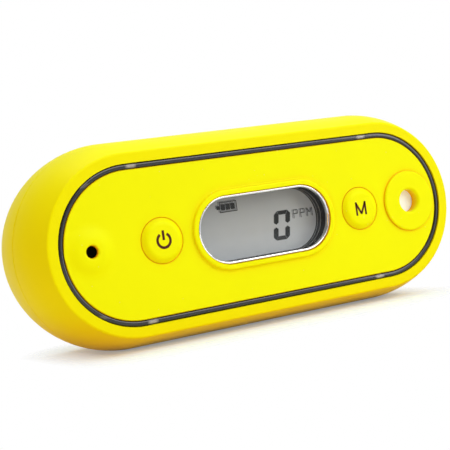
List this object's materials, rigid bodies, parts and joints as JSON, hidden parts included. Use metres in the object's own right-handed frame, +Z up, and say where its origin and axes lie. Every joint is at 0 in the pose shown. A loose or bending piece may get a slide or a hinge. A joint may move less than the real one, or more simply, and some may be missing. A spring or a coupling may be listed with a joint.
{
  "type": "hydrogen sulfide monitor",
  "caption": "Pill-shaped pocket gas monitor with a lit ring round its face, a display window, round push buttons, a gas port and a sprung clip on the rear.",
  "frame": {"origin": "under the middle of the whole object, on the surface that it stands on", "axes": "+X along the case to the right of its face, +Y from the face to the rear, +Z up with the case on one long side"},
  "size_m": [0.1196, 0.042, 0.049],
  "materials": {
    "shell": "satin yellow moulding with a fine grain",
    "panel": "satin yellow moulding with a fine grain",
    "button": "soft satin yellow",
    "light_guide": "smoked translucent plastic",
    "light": "white light source",
    "bezel": "bright polished bead",
    "lens": "clear window",
    "black_plastic": "matt black moulding",
    "display": "grey liquid crystal display",
    "strip": "conductive rubber",
    "board": "green circuit board",
    "chip": "black epoxy",
    "screw": "zinc-plated steel",
    "seal": "black silicone",
    "plunger": "black plastic",
    "switch": "tinned steel case",
    "filter": "white porous membrane",
    "cell": "off-white sensor housing",
    "socket": "gold-plated sockets",
    "foam": "closed-cell foam",
    "motor": "steel can",
    "battery_wrap": "plain shrink wrap",
    "contact": "nickel-plated spring steel",
    "clip_steel": "nickel-plated spring steel",
    "pin_steel": "steel rivet",
    "spring_steel": "music wire"
  },
  "bodies": {
    "case": {"front_shell": "shell", "rear_shell": "shell", "case_seal": "seal", "case_screws": "screw", "front_panel": "panel", "light_ring": "light_guide", "alarm_lights": "light", "display_bezel": "bezel", "display_lens": "lens", "display_frame": "black_plastic", "display_glass": "display", "contact_strips": "strip", "main_board": "board", "board_screws": "screw", "board_chips": "chip", "button_switches": "switch", "gas_filter": "filter", "sensor_gasket": "seal", "sensor_cell": "cell", "sensor_sockets": "socket", "sensor_board": "board", "board_header": "black_plastic", "buzzer": "black_plastic", "buzzer_pad": "foam", "sound_plug": "foam", "vibration_motor": "motor", "battery": "battery_wrap", "battery_holder": "black_plastic", "battery_contacts": "contact", "clip_base": "clip_steel", "clip_pin": "pin_steel", "clip_spring": "spring_steel", "clip_screws": "screw"},
    "power_key": {"power_button": "button", "power_plunger": "plunger"},
    "mode_key": {"mode_button": "button", "mode_plunger": "plunger"},
    "clip_arm": {"clip_lever": "clip_steel"}
  },
  "joints": [
    {"name": "power_button_press", "type": "slide", "parent": "case", "child": "power_key", "axis": [0, 1, 0], "range_m": [0, 0.0005], "stiffness_N_per_m": 800, "springref_m": -0.001},
    {"name": "mode_button_press", "type": "slide", "parent": "case", "child": "mode_key", "axis": [0, 1, 0], "range_m": [0, 0.0005], "stiffness_N_per_m": 800, "springref_m": -0.001},
    {"name": "clip_lever_open", "type": "hinge", "parent": "case", "child": "clip_arm", "pos_m": [0, 0.0165, 0.0305], "axis": [1, 0, 0], "range_deg": [0, 25], "stiffness_Nm_per_rad": 0.15, "springref_deg": -28.65, "deforming": ["clip_spring"]}
  ]
}
